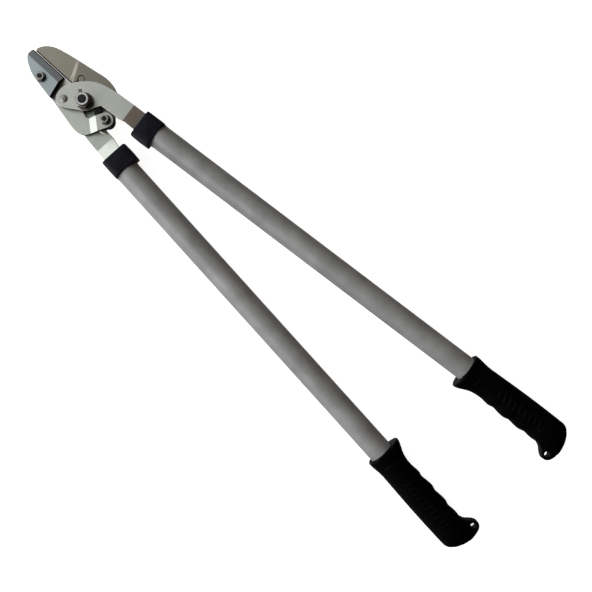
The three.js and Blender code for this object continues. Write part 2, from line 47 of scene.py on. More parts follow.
MM = 0.001
JOINTS = {joint["name"]: joint for joint in frame["joints"]}
MAIN_AXIS = Vector(JOINTS["handle_pivot"]["pos_m"])
TO_ROW = Matrix.Translation((MAIN_AXIS.x, MAIN_AXIS.y, 0)) @ Matrix.Scale(MM, 4)

MAIN = (0.0, 0.0)
JAW = (32.0, 0.5)
SLIDE = (-21.2, -14.5)
DRIVE_PIN = (-24.5, 17.0)
BLADE_RIVET = (14.0, 24.0)
ANVIL_BOLT = (-56.9, -13.7)
LOCK_PIN = (-13.2, 5.6)

LOWER_PLATE = (9.7, 14.7)
JAW_LAYER = (15.0, 20.0)
UPPER_PLATE = (20.3, 26.3)
JAW_MID = sum(JAW_LAYER) / 2
JAW_ARM_RISE = 4.3
BOSS_TOP = 17.2
BOSS_RADIUS = 8.6
PLATE_RIM = 0.3
ANVIL_HALF = 12.0
ANVIL_FACE_Y = 4.4
EDGE_Y = 4.8
# Width of a black band painted along the blade's edge as the shadow line where it closes on the anvil.
EDGE_SHADOW_WIDTH = 1.4

# fastener sizes: proud is how far the bolt's end stands out of its nut
M10 = {"shaft": 5.0, "flats": 17.0, "head": 6.2, "nut": 8.6, "rim": 2.8, "seat": 2.2, "proud": 1.0,
       "washer": 10.5, "thick": 1.5, "pitch": 1.5}
M6 = {"shaft": 3.0, "flats": 10.0, "head": 4.0, "nut": 4.6, "rim": 1.3, "seat": 1.1, "proud": 0.8,
      "washer": 6.0, "thick": 1.3, "pitch": 1.0}
M6_THIN = {**M6, "nut": 3.0, "rim": 1.0, "proud": 0.6, "thick": 0.8}
GAP = 0.3
SNUG = 0.15
SLOT_PLAY = 0.35
SEATED = 0.2
BUSH_RADIUS = 6.5
SLIDE_RADIUS = 4.0
SLIDE_WASHER_RADIUS = 7.0
SPACER_RADIUS = 8.8
DRIVE_PIN_RADIUS = 3.9
BLADE_RIVET_RADIUS = 3.0
LOCK_PIN_RADIUS = 1.8

AXIS_Z = 17.5
SPREAD = math.radians(5.4)
HANDLES = {
    "upper": {"side": 1, "offset": 20.75, "collar_start": 67.8, "grip_start": 553.6,
              "body": "upper_handle"},
    "lower": {"side": -1, "offset": 18.4, "collar_start": 69.0, "grip_start": 546.2,
              "body": "lower_handle"},
}
TUBE_RADIUS = 15.0
BORE_RADIUS = 13.5
TUBE_START = 70.0
TANG_HALF_WIDTH = 11.7
TANG_START = 63.0
TANG_END = 104.0
TUBE_DEPTH = 112.0
CRANK_END = 66.0
COLLAR_LENGTH = 24.2
COLLAR_OUTER = 15.9
COLLAR_INNER = 20.4
COLLAR_HALF_HEIGHT = 17.5
TUBE_CHAMFER = 0.2
BEAD_HEIGHT = 0.35
BEAD_HALF_LENGTH = 0.5
BEAD_PLACE = 0.7


def smoothstep(value, low, high):
    share = min(max((value - low) / (high - low), 0.0), 1.0)
    return share * share * (3 - 2 * share)


def polar(centre, radius, angle):
    return (centre[0] + radius * math.cos(angle), centre[1] + radius * math.sin(angle))


def turn(point, angle):
    x, y = point
    return (x * math.cos(angle) - y * math.sin(angle), x * math.sin(angle) + y * math.cos(angle))


def handle_point(name, s, out):
    """Plan position on a handle: s along the tube, out away from the other handle."""
    handle = HANDLES[name]
    side = handle["side"]
    return turn((s, side * (handle["offset"] + out)), side * SPREAD)


def handle_matrix(name):
    """From handle axes (x along the tube, y towards +Y, z up from the centre line) to the drawing."""
    handle = HANDLES[name]
    side = handle["side"]
    x, y = turn((0, side * handle["offset"]), side * SPREAD)
    return Matrix.Translation((x, y, AXIS_Z)) @ Matrix.Rotation(side * SPREAD, 4, "Z")


# ---------- mesh tools ----------

FLAT_CAP = 1       # marks the faces of a bmesh that are to be shaded flat
BEND_RADIUS = 0.6


def add_object(name, data):
    made = bpy.data.objects.new(name, data)
    bpy.context.scene.collection.objects.link(made)
    return made


def finish_mesh(bm, name, matrix=None, sharp_deg=32.0):
    """A bmesh drawn in millimetres becomes an object in the row frame, smooth except on flat caps."""
    bmesh.ops.remove_doubles(bm, verts=bm.verts, dist=1e-4)
    for face in bm.faces:
        face.smooth = face.material_index != FLAT_CAP
        face.material_index = 0
    if matrix is not None:
        bm.transform(matrix)
    bm.transform(TO_ROW)
    mesh = bpy.data.meshes.new(name)
    bm.to_mesh(mesh)
    bm.free()
    mesh.set_sharp_from_angle(angle=math.radians(sharp_deg))
    piece = add_object(name, mesh)
    piece.modifiers.new("weighted", "WEIGHTED_NORMAL").keep_sharp = True
    return piece


def baked(piece):
    """Applies the piece's modifiers to its mesh."""
    bpy.context.view_layer.update()
    done = piece.evaluated_get(bpy.context.evaluated_depsgraph_get())
    mesh = bpy.data.meshes.new_from_object(done)
    piece.modifiers.clear()
    piece.data = mesh


class Outline:
    """A closed plan outline built from lines, arcs and smooth curves through points."""

    def __init__(self, start):
        self.points = [start]

    def line(self, *points):
        self.points += points
        return self

    def curve(self, *points):
        steps = 10
        control = [self.points[-1], *points]
        last = len(control) - 1
        for i in range(last):
            p0, p1 = control[max(i - 1, 0)], control[i]
            p2, p3 = control[i + 1], control[min(i + 2, last)]
            for k in range(1, steps + 1):
                self.points.append(catmull_rom(p0, p1, p2, p3, k / steps))

    def arc(self, centre, radius, start_deg, end_deg, step_deg=5.0):
        turns = max(2, round(abs(end_deg - start_deg) / step_deg))
        for k in range(turns + 1):
            angle = math.radians(start_deg + (end_deg - start_deg) * k / turns)
            self.points.append(polar(centre, radius, angle))
        return self

    def clean(self, counter_clockwise):
        kept = []
        for point in self.points:
            if not kept or math.dist(point, kept[-1]) > 0.02:
                kept.append(point)
        if math.dist(kept[0], kept[-1]) < 0.02:
            kept.pop()
        area = sum(a[0] * b[1] - b[0] * a[1] for a, b in zip(kept, kept[1:] + kept[:1]))
        if (area > 0) != counter_clockwise:
            kept.reverse()
        return kept


def catmull_rom(p0, p1, p2, p3, t):
    def axis(i):
        v0, v1 = (p2[i] - p0[i]) / 2, (p3[i] - p1[i]) / 2
        a = 2 * p1[i] - 2 * p2[i] + v0 + v1
        b = -3 * p1[i] + 3 * p2[i] - 2 * v0 - v1
        return ((a * t + b) * t + v0) * t + p1[i]
    return axis(0), axis(1)


def circle(centre, radius, step_deg=6.0):
    return Outline((centre[0] + radius, centre[1])).arc(centre, radius, 0, 360, step_deg)


def inset(points, distance):
    """Moves a closed outline to the left of its travel, mitred at the corners."""
    moved = []
    count = len(points)
    for i, point in enumerate(points):
        before = Vector(point) - Vector(points[i - 1])
        after = Vector(points[(i + 1) % count]) - Vector(point)
        n1 = Vector((-before.y, before.x)).normalized()
        n2 = Vector((-after.y, after.x)).normalized()
        mitre = n1 + n2
        length = distance * 2 / max(mitre.length_squared, 0.8)
        moved.append((point[0] + mitre.x * length, point[1] + mitre.y * length))
    return moved


def outward(bm):
    """Turns a closed bmesh's faces outwards."""
    bmesh.ops.recalc_face_normals(bm, faces=bm.faces)
    return bm


def bridge(bm, low, high):
    """Faces between two rings of vertices; a ring may be one vertex repeated."""
    count = len(low)
    for i in range(count):
        j = (i + 1) % count
        corners = list(dict.fromkeys((low[i], low[j], high[j], high[i])))
        if len(corners) > 2:
            bm.faces.new(corners)


def plate_bmesh(outline, holes, z0, z1, bevel):
    """A flat plate with rounded rims round its outline and its holes."""
    steps = 3
    rounding = []
    for k in range(steps + 1):
        angle = math.pi / 2 * k / steps
        rounding.append((bevel * (1 - math.sin(angle)), bevel * (1 - math.cos(angle))))
    levels = [(back, z0 + rise) for back, rise in rounding]
    levels += [(back, z1 - rise) for back, rise in reversed(rounding)]
    loops = [outline.clean(True)] + [hole.clean(False) for hole in holes]
    bm = bmesh.new()
    rings = []
    for loop in loops:
        rows = []
        for back, z in levels:
            rows.append([bm.verts.new((x, y, z)) for x, y in inset(loop, back)])
        rings.append(rows)
        for low, high in zip(rows, rows[1:]):
            bridge(bm, low, high)
    for row, up in ((0, False), (len(levels) - 1, True)):
        flat = [vert for rows in rings for vert in rows[row]]
        plan = [[Vector((vert.co.x, vert.co.y, 0)) for vert in rows[row]] for rows in rings]
        for triangle in geometry.tessellate_polygon(plan):
            corners = [flat[i] for i in triangle]
            normal = (corners[1].co - corners[0].co).cross(corners[2].co - corners[0].co)
            if (normal.z > 0) != up:
                corners.reverse()
            bm.faces.new(corners).material_index = FLAT_CAP
    return bm


def split(bm, point, normal):
    """Adds edges to a bmesh where a plane crosses it."""
    everything = bm.verts[:] + bm.edges[:] + bm.faces[:]
    bmesh.ops.bisect_plane(bm, geom=everything, plane_co=point, plane_no=normal)


def crank(bm, angle, start, end, rise):
    """Bends a plate bmesh: it climbs by rise between two bend lines, with rounded bends."""
    direction = Vector((math.cos(angle), math.sin(angle), 0))
    slope = rise / (end - start)
    stops = []
    for line in (start, end):
        stops += [line + BEND_RADIUS * k / 3 for k in range(-3, 4)]
    for stop in stops:
        split(bm, direction * stop, direction)

    def ramp(along, line):
        into = along - (line - BEND_RADIUS)
        if into <= 0:
            return 0.0
        if into < 2 * BEND_RADIUS:
            return into * into / (4 * BEND_RADIUS)
        return along - line

    for vert in bm.verts:
        along = vert.co.xy.dot(direction.xy)
        vert.co.z += slope * (ramp(along, start) - ramp(along, end))
    return bm


def lathe_bmesh(profile, segments, centre):
    """Turns a closed [radius, z] profile, or one that starts and ends on the axis."""
    bm = bmesh.new()
    on_axis = profile[0][0] < 1e-6 and profile[-1][0] < 1e-6
    rows = []
    for radius, z in profile:
        if radius < 1e-6:
            rows.append([bm.verts.new((*centre, z))] * segments)
            continue
        row = []
        for k in range(segments):
            row.append(bm.verts.new((*polar(centre, radius, 2 * math.pi * k / segments), z)))
        rows.append(row)
    if not on_axis:
        rows.append(rows[0])
    for low, high in zip(rows, rows[1:]):
        bridge(bm, low, high)
    return outward(bm)


def ring_profile(outer, inner, z0, z1):
    """The section of a ring with small chamfers."""
    c = 0.25
    return [(inner, z0 + c), (inner + c, z0), (outer - c, z0), (outer, z0 + c),
            (outer, z1 - c), (outer - c, z1), (inner + c, z1), (inner, z1 - c)]


def hex_radius(angle, flats):
    """Distance from a hexagon's centre to its side at an angle."""
    turned = (angle + math.pi / 6) % (math.pi / 3) - math.pi / 6
    return flats / 2 / math.cos(turned)


def hex_bmesh(centre, flats, z0, z1, bore=0.0, extra=()):
    """A hexagon with turned chamfers on its corners. extra rows are (radius, z) above the top."""
    segments = 72
    flat_radius = flats / 2 * 0.96
    fall = math.tan(math.radians(30))
    bm = bmesh.new()

    def row(radius_of, z_of):
        made = []
        for k in range(segments):
            angle = 2 * math.pi * k / segments + math.pi / 6
            radius = radius_of(angle)
            made.append(bm.verts.new((*polar(centre, radius, angle), z_of(radius))))
        return made

    def corner(angle):
        return hex_radius(angle, flats)

    rows = [row(lambda a: max(bore, 0.01), lambda r: z0),
            row(lambda a: flat_radius, lambda r: z0),
            row(corner, lambda r: z0 + (r - flat_radius) * fall),
            row(corner, lambda r: z1 - (r - flat_radius) * fall),
            row(lambda a: flat_radius, lambda r: z1)]
    for radius, z in extra:
        rows.append(row(lambda a, value=radius: value, lambda r, value=z: value))
    if not extra:
        rows.append(row(lambda a: max(bore, 0.01), lambda r: z1))
    for low, high in zip(rows, rows[1:] + rows[:1]):
        bridge(bm, low, high)
    return outward(bm)


def merged(*parts):
    """Several bmeshes as one, each a closed shell of its own."""
    whole = bmesh.new()
    for part in parts:
        mesh = bpy.data.meshes.new("part")
        part.to_mesh(mesh)
        part.free()
        whole.from_mesh(mesh)
        bpy.data.meshes.remove(mesh)
    return whole


def prism_bmesh(profile, x0, x1):
    """A prism along X from a convex (y, z) profile."""
    bm = bmesh.new()
    near = [bm.verts.new((x0, y, z)) for y, z in profile]
    far = [bm.verts.new((x1, y, z)) for y, z in profile]
    bm.faces.new(near)
    bm.faces.new(far)
    bridge(bm, near, far)
    return outward(bm)


def cut(piece, tool_bm, operation="DIFFERENCE"):
    """Cuts a piece by a tool drawn in millimetres, or keeps only what is inside the tool."""
    tool = finish_mesh(tool_bm, "tool")
    tool.modifiers.clear()
    piece.modifiers.clear()
    boolean = piece.modifiers.new("cut", "BOOLEAN")
    boolean.operation = operation
    boolean.solver = "EXACT"
    boolean.object = tool
    baked(piece)
    bpy.data.objects.remove(tool)


def soften(piece, width_mm, segments, angle_deg=30.0):
    """Rounds a piece's sharp edges."""
    bevel = piece.modifiers.new("soften", "BEVEL")
    bevel.width = width_mm * MM
    bevel.segments = segments
    bevel.limit_method = "ANGLE"
    bevel.angle_limit = math.radians(angle_deg)
    bevel.harden_normals = False
    baked(piece)
    piece.data.shade_smooth()
    piece.data.set_sharp_from_angle(angle=math.radians(40))
    piece.modifiers.new("weighted", "WEIGHTED_NORMAL").keep_sharp = True


# ---------- materials ----------

def fill_ramp(node, stops):
    elements = node.color_ramp.elements
    while len(elements) < len(stops):
        elements.new(0.5)
    for element, (position, colour) in zip(elements, stops):
        element.position = position
        element.color = (*colour, 1)


class Nodes:
    """Small helper that builds a node material round one Principled shader."""

    def __init__(self, name):
        self.material = bpy.data.materials.new(name)
        self.material.use_nodes = True
        self.tree = self.material.node_tree
        self.shader = self.tree.nodes["Principled BSDF"]
        self.place = self.tree.nodes.new("ShaderNodeTexCoord").outputs["Object"]

    def node(self, kind, **values):
        made = self.tree.nodes.new(kind)
        for key, value in values.items():
            setattr(made, key, value)
        return made

    def link(self, source, target):
        self.tree.links.new(source, target)

    def mapped(self, scale, turn_z):
        mapping = self.node("ShaderNodeMapping")
        mapping.inputs["Scale"].default_value = scale
        mapping.inputs["Rotation"].default_value = (0, 0, turn_z)
        self.link(self.place, mapping.inputs["Vector"])
        return mapping.outputs["Vector"]

    def noise(self, scale, detail, roughness, vector=None):
        made = self.node("ShaderNodeTexNoise")
        made.inputs["Scale"].default_value = scale
        made.inputs["Detail"].default_value = detail
        made.inputs["Roughness"].default_value = roughness
        self.link(vector if vector is not None else self.place, made.inputs["Vector"])
        return made.outputs["Fac"]

    def ramp(self, factor, stops):
        made = self.node("ShaderNodeValToRGB")
        fill_ramp(made, stops)
        self.link(factor, made.inputs["Fac"])
        return made.outputs["Color"]

    def map_range(self, value, start, end, low=0.0, high=1.0):
        """Low where the value is at start, high where it is at end."""
        made = self.node("ShaderNodeMapRange")
        names = ("From Min", "From Max", "To Min", "To Max")
        for name, number in zip(names, (start, end, low, high)):
            made.inputs[name].default_value = number
        self.link(value, made.inputs["Value"])
        return made.outputs["Result"]

    def axis(self, name, vector):
        split_up = self.node("ShaderNodeSeparateXYZ")
        self.link(vector, split_up.inputs["Vector"])
        return split_up.outputs[name]

    def mix(self, factor, first, second):
        """Mixes the socket first with second, which is a colour or a number."""
        is_colour = isinstance(second, tuple)
        made = self.node("ShaderNodeMix", data_type="RGBA" if is_colour else "FLOAT")
        a, b, result = (6, 7, 2) if is_colour else (2, 3, 0)
        self.link(factor, made.inputs["Factor"])
        self.link(first, made.inputs[a])
        made.inputs[b].default_value = (*second, 1) if is_colour else second
        return made.outputs[result]

    def upright(self, flat, steep):
        """0 where the normal's height is over flat, 1 where it is under steep. No joint tips a
        surface."""
        size = self.node("ShaderNodeMath", operation="ABSOLUTE")
        normal = self.node("ShaderNodeNewGeometry").outputs["True Normal"]
        self.link(self.axis("Z", normal), size.inputs[0])
        return self.map_range(size.outputs["Value"], flat, steep)

    def below(self, limit):
        """1 where the object's Y is under limit, 0 from a fifth of a millimetre above it."""
        return self.map_range(self.axis("Y", self.place), limit + 0.2 * MM, limit)

    def bump(self, height, strength, distance):
        made = self.node("ShaderNodeBump")
        made.inputs["Strength"].default_value = strength
        made.inputs["Distance"].default_value = distance
        self.link(height, made.inputs["Height"])
        if self.shader.inputs["Normal"].is_linked:
            self.link(self.shader.inputs["Normal"].links[0].from_socket, made.inputs["Normal"])
        self.link(made.outputs["Normal"], self.shader.inputs["Normal"])

    def set(self, **values):
        for key, value in values.items():
            self.shader.inputs[key.replace("_", " ")].default_value = value


DULL = 0.6
# Black painted shadow, used for the band along the blade's edge.
EDGE_SHADOW = (0.006, 0.006, 0.006)
# Painted shade: a dark colour laid on upright sides, standing for the shade they fall in.
WALL_SHADE = (0.010, 0.0095, 0.009)


def tint(colour, factor):
    return tuple(min(1.0, channel * factor) for channel in colour)


def edge_wear(nodes, base, worn):
    """Mixes a brighter worn colour in along convex edges."""
    pointy = nodes.node("ShaderNodeNewGeometry").outputs["Pointiness"]
    return nodes.mix(nodes.map_range(pointy, 0.52, 0.62, high=0.7), base, worn)


def steel(name, colour, rough, grain=(1, 1, 1), grain_scale=900.0, grain_turn=0.0,
          mottle=0.12, bump=0.15, metallic=1.0, wear=1.25, wall_shade=None, lean=(0.85, 0.6),
          shadow_below=None):
    """Steel with a mottled colour, a fine grain and bright edges. Its upright sides get a darker,
    duller colour as painted shade, and lean says how upright they are, as heights of the normal.
    Below a given Y it gets a painted black shadow line."""
    n = Nodes(name)
    cloud = n.noise(55.0, 5.0, 0.6)
    base = n.ramp(cloud, [(0.3, tint(colour, 1 - mottle)), (0.7, tint(colour, 1 + mottle))])
    base = edge_wear(n, base, tint(colour, wear))
    fine = n.noise(grain_scale, 3.0, 0.55, n.mapped(grain, grain_turn))
    roughness = n.map_range(fine, 0, 1, rough - 0.07, rough + 0.09)
    # Painted shade: the dark upright sides and the black shadow line at the edge are mixed over the colour.
    painted_shades = []
    if wall_shade is not None:
        painted_shades.append((n.upright(*lean), wall_shade))
    if shadow_below is not None:
        painted_shades.append((n.below(shadow_below), EDGE_SHADOW))
    for shade_mask, shade_colour in painted_shades:
        base = n.mix(shade_mask, base, shade_colour)
        roughness = n.mix(shade_mask, roughness, DULL)
    n.link(base, n.shader.inputs["Base Color"])
    n.link(roughness, n.shader.inputs["Roughness"])
    n.bump(fine, bump, 0.00001)
    n.set(Metallic=metallic)
    return n.material


def moulded(name, colour, rough, texture_scale=1400.0, texture=0.25, cast=None, metallic=0.0,
            specular=0.5):
    """Moulded plastic or rubber: fine spark-eroded texture, faint handling marks in the colour
    cast."""
    n = Nodes(name)
    cloud = n.noise(35.0, 4.0, 0.6)
    base = n.ramp(cloud, [(0.3, tint(colour, 0.85)), (0.7, cast or tint(colour, 1.2))])
    n.link(base, n.shader.inputs["Base Color"])
    fine = n.noise(texture_scale, 2.0, 0.5)
    n.link(n.map_range(cloud, 0, 1, rough - 0.05, rough + 0.06), n.shader.inputs["Roughness"])
    n.bump(fine, texture, 0.00002)
    n.set(Metallic=metallic, Specular_IOR_Level=specular)
    return n.material


GRIND_TURN = math.radians(12)
MATERIALS = {
    "forged_steel": steel("forged_steel", (0.79, 0.81, 0.74), 0.34, grain_scale=1500, mottle=0.05,
                          bump=0.2, wear=1.0, wall_shade=WALL_SHADE),
    # The blade is painted black near its edge: a painted shadow line where it meets the anvil.
    "blade_steel": steel("blade_steel", (0.40, 0.37, 0.305), 0.24, grain=(10, 0.6, 1), grain_scale=420,
                         grain_turn=GRIND_TURN, mottle=0.05, bump=0.06, wear=1.0, wall_shade=WALL_SHADE,
                         shadow_below=MAIN_AXIS.y + (EDGE_Y + EDGE_SHADOW_WIDTH) * MM),
    # The anvil's upright sides get a near-black painted shade.
    "anvil_steel": steel("anvil_steel", (0.57, 0.635, 0.65), 0.34, grain=(0.5, 9, 1), grain_scale=380,
                         mottle=0.05, bump=0.12, wear=1.0, wall_shade=(0.016, 0.017, 0.018),
                         lean=(0.45, 0.25)),
    # The nuts' upright sides get a dark painted shade.
    "fastener_steel": steel("fastener_steel", (0.40, 0.385, 0.37), 0.3, mottle=0.1, bump=0.1,
                            wall_shade=(0.02, 0.018, 0.016), lean=(0.95, 0.75)),
    "black_steel": steel("black_steel", (0.022, 0.023, 0.027), 0.38, metallic=0.5, wear=1.5),
    "nylon": moulded("nylon", (0.92, 0.92, 0.91), 0.35, texture=0.05),
    "tube_finish": moulded("tube_finish", (0.37, 0.375, 0.37), 0.5, texture_scale=2200, texture=0.1,
                           metallic=0.15, specular=0.15),
    "collar_plastic": moulded("collar_plastic", (0.006, 0.0055, 0.010), 0.42, cast=(0.011, 0.010, 0.019),
                              specular=0.14),
    "grip_plastic": moulded("grip_plastic", (0.0006, 0.0006, 0.0006), 0.42, texture=0.2,
                            specular=0.06),
    "rubber": moulded("rubber", (0.01, 0.01, 0.011), 0.7, texture=0.3),
    "plug_plastic": moulded("plug_plastic", (0.30, 0.31, 0.32), 0.5),
}
# A darker copy of the forged steel for the boss: painted shade for the jaw arm's shadow and the boss's slope
# turned from the light.
SHADED_BOSS_STEEL = steel("boss_steel", (0.30, 0.285, 0.24), 0.4, mottle=0.05, bump=0.15, wear=1.0,
                   wall_shade=WALL_SHADE)


def dress(piece, slot, body, *nodes):
    """Gives a finished piece its material and its body, and hides the CAD nodes that it stands for."""
    piece.data.materials.clear()
    piece.data.materials.append(MATERIALS[slot])
    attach(piece, body)
    if nodes:
        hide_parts(*nodes)


# ---------- camera, light and floor ----------

VIEW_TURN = math.radians(42.55)
VIEW_CENTRE = TO_ROW @ Vector((340.7, -0.7, AXIS_Z))
VIEW_DISTANCE = 0.870
VIEW_HALF_WIDTH = 0.3552


def build_camera():
    data = bpy.data.cameras.new("camera")
    data.sensor_width = 36
    data.lens = data.sensor_width / 2 * VIEW_DISTANCE / VIEW_HALF_WIDTH
    data.clip_start = 0.01
    camera = add_object("camera", data)
    camera.location = VIEW_CENTRE + Vector((0, 0, VIEW_DISTANCE))
    camera.rotation_euler = (0, 0, VIEW_TURN)
    bpy.context.scene.camera = camera


LIGHT_SIDE = (-0.94, 0.34)
KEY_SIDE = (-0.94, -0.34)
KEY_DISTANCE = 1.6
KEY_HEIGHT = 1.2
KEY_SIZE = (1.4, 0.7)
KEY_POWER = 13
FLOOR_HALF = 3.0
BACKDROP_RADIUS = 2.9
BACKDROP_HEIGHT = 3.0
SKY = [(0.0, (0.010, 0.007, 0.006)), (0.15, (0.050, 0.030, 0.024)), (0.34, (0.13, 0.080, 0.062)),
       (0.5, (0.18, 0.175, 0.165)), (0.68, (0.36, 0.37, 0.37)), (0.85, (1.15, 1.18, 1.2)),
       (1.0, (1.0, 1.03, 1.06))]


def build_key(place, target):
    data = bpy.data.lights.new("key", "AREA")
    data.shape = "RECTANGLE"
    data.size, data.size_y = KEY_SIZE
    data.energy = KEY_POWER
    lamp = add_object("key", data)
    lamp.location = place
    lamp.rotation_euler = (target - place).to_track_quat("-Z", "Y").to_euler()


def build_world(bright_side):
    """A studio that is bright on one side and falls to a dark brown on the other."""
    world = bpy.data.worlds.new("studio")
    world.use_nodes = True
    tree = world.node_tree
    place = tree.nodes.new("ShaderNodeTexCoord")
    dot = tree.nodes.new("ShaderNodeVectorMath")
    dot.operation = "DOT_PRODUCT"
    dot.inputs[1].default_value = bright_side
    shift = tree.nodes.new("ShaderNodeMapRange")
    shift.inputs["From Min"].default_value = -1
    ramp = tree.nodes.new("ShaderNodeValToRGB")
    fill_ramp(ramp, SKY)
    tree.links.new(place.outputs["Generated"], dot.inputs[0])
    tree.links.new(dot.outputs["Value"], shift.inputs["Value"])
    tree.links.new(shift.outputs["Result"], ramp.inputs["Fac"])
    tree.links.new(ramp.outputs["Color"], tree.nodes["Background"].inputs["Color"])
    bpy.context.scene.world = world


def level_direction(side):
    """A level unit vector, given as right and up in the camera's view."""
    return Vector((*turn(side, VIEW_TURN), 0)).normalized()


def stage_piece(name, bm, material):
    """A part of the stage: the camera sees it, but it casts no light on the tool."""
    mesh = bpy.data.meshes.new(name)
    bm.to_mesh(mesh)
    bm.free()
    piece = add_object(name, mesh)
    piece.data.materials.append(material)
    piece.visible_diffuse = False
    piece.visible_glossy = False
    return piece


def build_stage():
    """Light from one side, a pale floor that lights up white, and a ring of the same behind."""
    middle = Vector((VIEW_CENTRE.x, VIEW_CENTRE.y, 0))
    build_key(middle + level_direction(KEY_SIDE) * KEY_DISTANCE + Vector((0, 0, KEY_HEIGHT)), middle)
    build_world(level_direction(LIGHT_SIDE))
    bpy.context.scene.view_settings.view_transform = "Standard"

    n = Nodes("floor")
    pale = n.ramp(n.noise(3.0, 4.0, 0.5), [(0.3, (0.90, 0.90, 0.90)), (0.7, (0.93, 0.93, 0.93))])
    n.link(pale, n.shader.inputs["Base Color"])
    n.link(pale, n.shader.inputs["Emission Color"])
    n.set(Roughness=0.8, Specular_IOR_Level=0.0, Emission_Strength=0.95)

    bm = bmesh.new()
    bmesh.ops.create_grid(bm, x_segments=8, y_segments=8, size=FLOOR_HALF)
    stage_piece("floor", bm, n.material)
    bm = bmesh.new()
    bmesh.ops.create_cone(bm, segments=64, radius1=BACKDROP_RADIUS, radius2=BACKDROP_RADIUS,
                          depth=BACKDROP_HEIGHT)
    stage_piece("backdrop", bm, n.material).visible_shadow = False


build_camera()
build_stage()

# ---------- blade ----------

EDGE_HALF = 0.3
BLADE_HALF = (JAW_LAYER[1] - JAW_LAYER[0]) / 2
GRIND_SLOPE = 2.0 / 26.0
RUNOUT_LINE = ((-31.5, 0.0), (-46.0, 34.0))
RUNOUT_WIDTH = 5.0


def blade_outline():
    shape = Outline((-87.6, EDGE_Y))
    shape.line((-88.8, 8.6))
    shape.curve((-85, 14.9), (-78.5, 20.6), (-70.4, 24.5), (-58.4, 27.6), (-44, 30.5),
                (-22.2, 34.4), (-8, 37))
    shape.arc(MAIN, 37.8, 100, 40)
    shape.arc(MAIN, 9.6, 30, -180)
    shape.arc(DRIVE_PIN, 4.4, -40, 200)
    shape.line((-26.4, 12.2), (-29.6, EDGE_Y))
    return shape


def blade_half_thickness(x, y):
    """Thin at the edge, full behind the grind, and full again past the grind's runout."""
    (x0, y0), (x1, y1) = RUNOUT_LINE
    length = math.hypot(x1 - x0, y1 - y0)
    past = ((x - x0) * (y1 - y0) - (y - y0) * (x1 - x0)) / length
    ground = EDGE_HALF + max(y - EDGE_Y, 0) * GRIND_SLOPE
    share = smoothstep(past, 0.0, RUNOUT_WIDTH)
    return min(BLADE_HALF, ground + (BLADE_HALF - ground) * share)


def build_blade():
    holes = [circle(MAIN, BUSH_RADIUS + GAP), circle(BLADE_RIVET, BLADE_RIVET_RADIUS + GAP)]
    bm = plate_bmesh(blade_outline(), holes, *JAW_LAYER, bevel=0.25)
    (x0, y0), (x1, y1) = RUNOUT_LINE
    normal = Vector((y1 - y0, x0 - x1, 0)).normalized()
    for k in range(9):
        split(bm, Vector((x0, y0, 0)) + normal * (RUNOUT_WIDTH * k / 8), normal)
    for vert in bm.verts:
        share = blade_half_thickness(vert.co.x, vert.co.y) / BLADE_HALF
        vert.co.z = JAW_MID + (vert.co.z - JAW_MID) * share
    dress(finish_mesh(bm, "blade_ground"), "blade_steel", "lower_handle", "blade")


# ---------- handle plates ----------

def tang_corners(name):
    """The end and start of a tang's outer side, then the start and end of its inner side."""
    sides = ((TANG_END, 1), (TANG_START, 1), (TANG_START, -1), (TANG_END, -1))
    return [handle_point(name, s, out * TANG_HALF_WIDTH) for s, out in sides]


def lower_plate_outline():
    tang = tang_corners("lower")
    shape = Outline(tang[0])
    shape.line(tang[1])
    shape.curve((46.8, -34.5), (28.9, -32.1), (20, -29.2), (13, -21))
    shape.arc(MAIN, 17.5, -65, -180)
    shape.arc(DRIVE_PIN, 8.5, 195, 80)
    shape.arc(BLADE_RIVET, 8.5, 100, -10)
    shape.arc(JAW, BOSS_RADIUS, 45, -60)
    shape.curve((38, -8.5), (46.9, -9), (54.9, -10.7))
    shape.line(*tang[2:])
    return shape


def boss_bmesh():
    """The forged boss under the jaw's arm, with a flowing skirt trimmed by the plate's outline."""
    skirt, flow = 18.6, 5.4
    base = LOWER_PLATE[1] - 0.5
    profile = [(0, base - 0.3), (skirt, base - 0.3), (skirt, base)]
    rise = BOSS_TOP - base
    for k in range(9):
        angle = math.pi / 2 * k / 8
        profile.append((skirt - flow * math.sin(angle), base + rise * (1 - math.cos(angle))))
    profile.append((0, BOSS_TOP))
    return lathe_bmesh(profile, 96, JAW)


def build_lower_plate():
    holes = [circle(MAIN, M10["shaft"] + GAP), circle(JAW, M6["shaft"] + GAP)]
    bm = plate_bmesh(lower_plate_outline(), holes, *LOWER_PLATE, bevel=PLATE_RIM)
    crank(bm, -SPREAD, 50, CRANK_END, 5.3)
    plate = finish_mesh(bm, "lower_plate_forged")

    boss = finish_mesh(boss_bmesh(), "lower_plate_boss")
    cut(boss, plate_bmesh(boss_limit(), [], 13, 20, bevel=0.01), "INTERSECT")
    soften(boss, 0.2, 2, 50)
    dress(plate, "forged_steel", "lower_handle", "lower_handle_plate")
    dress(boss, "forged_steel", "lower_handle")
    # The boss takes the darker copy of the forged steel: painted shade.
    boss.data.materials[0] = SHADED_BOSS_STEEL


def boss_limit():
    """The part of the lower plate's outline that carries the boss, kept off the stop buffer."""
    shape = Outline((17.2, -6.5))
    shape.line((21.4, 5.4), (16.2, 9.6), (18.5, 14.0), (22.37, 22.52))
    shape.arc(JAW, BOSS_RADIUS, 45, -60)
    shape.curve((38, -8.5), (46.9, -9), (50, -9.6))
    shape.line((50, -33), (20, -28.9), (13.4, -20.8))
    return shape


